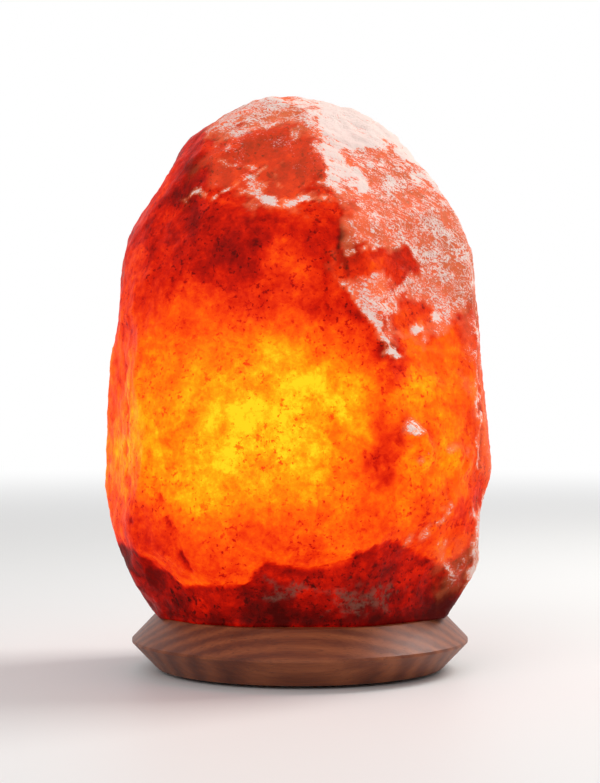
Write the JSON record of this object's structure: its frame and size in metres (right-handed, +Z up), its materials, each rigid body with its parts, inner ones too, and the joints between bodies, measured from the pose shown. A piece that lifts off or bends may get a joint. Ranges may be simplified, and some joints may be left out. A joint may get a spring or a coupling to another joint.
{
  "type": "salt crystal lamp",
  "caption": "Table lamp made of a rough lump of pink rock salt on a round wooden base, lit from inside by a small screw-in bulb in a clip-in holder.",
  "frame": {"origin": "on the table under the middle of the wooden base, level with the undersides of the rubber pads", "axes": "+Z up through the bulb and its bore, +X to the right seen from the front, -Y to the front; the cord groove leaves at +Y"},
  "size_m": [0.1681, 0.1473, 0.249],
  "materials": {
    "salt": "rough broken rock salt, lit from inside",
    "wood": "turned, oiled, satin",
    "pad_rubber": "matt",
    "screw_steel": "zinc plated",
    "plug_nylon": "matt",
    "holder_plastic": "moulded, slightly grained",
    "block_ceramic": "glazed",
    "contact_brass": "stamped, bare",
    "spring_steel": "rolled strip",
    "cap_metal": "rolled, bare",
    "tip_solder": "solder",
    "cap_glass": "black, glossy",
    "cap_filler": "baked cement",
    "clear_glass": "clear",
    "stem_glass": "clear",
    "lead_wire": "drawn wire",
    "tungsten": "glowing coil"
  },
  "bodies": {
    "light_unit": {"holder_dome": "holder_plastic", "holder_skirt": "holder_plastic", "contact_block": "block_ceramic", "screw_shell": "contact_brass", "centre_contact": "contact_brass", "contact_rivets": "contact_brass", "terminals": "contact_brass", "terminal_screws": "screw_steel", "clip_collar": "spring_steel", "clip_leaves": "spring_steel", "clip_rivets": "spring_steel"},
    "lamp_body": {"salt_crystal": "salt", "wood_base": "wood", "rubber_pads": "pad_rubber", "base_screws": "screw_steel", "screw_washers": "screw_steel", "crystal_plugs": "plug_nylon"},
    "bulb_tip": {"tip_contact": "tip_solder"},
    "bulb": {"cap_insulator": "cap_glass", "bulb_cap": "cap_metal", "cap_cement": "cap_filler", "bulb_glass": "clear_glass", "bulb_stem": "stem_glass", "lead_wires": "lead_wire", "filament": "tungsten", "support_wires": "lead_wire"}
  },
  "joints": [
    {"name": "lamp_lift", "type": "slide", "parent": "light_unit", "child": "lamp_body", "axis": [0, 0, 1], "range_m": [0, 0.12]},
    {"name": "bulb_rise", "type": "slide", "parent": "light_unit", "child": "bulb_tip", "axis": [0, 0, 1], "range_m": [0, 0.0113]},
    {"name": "bulb_turn", "type": "hinge", "parent": "bulb_tip", "child": "bulb", "pos_m": [0, 0, 0.0434], "axis": [0, 0, 1], "range_deg": [0, 1440]}
  ],
  "couplings": [
    {"joint": "bulb_rise", "follows": "bulb_turn", "m_per_rad": 0.00044913}
  ]
}
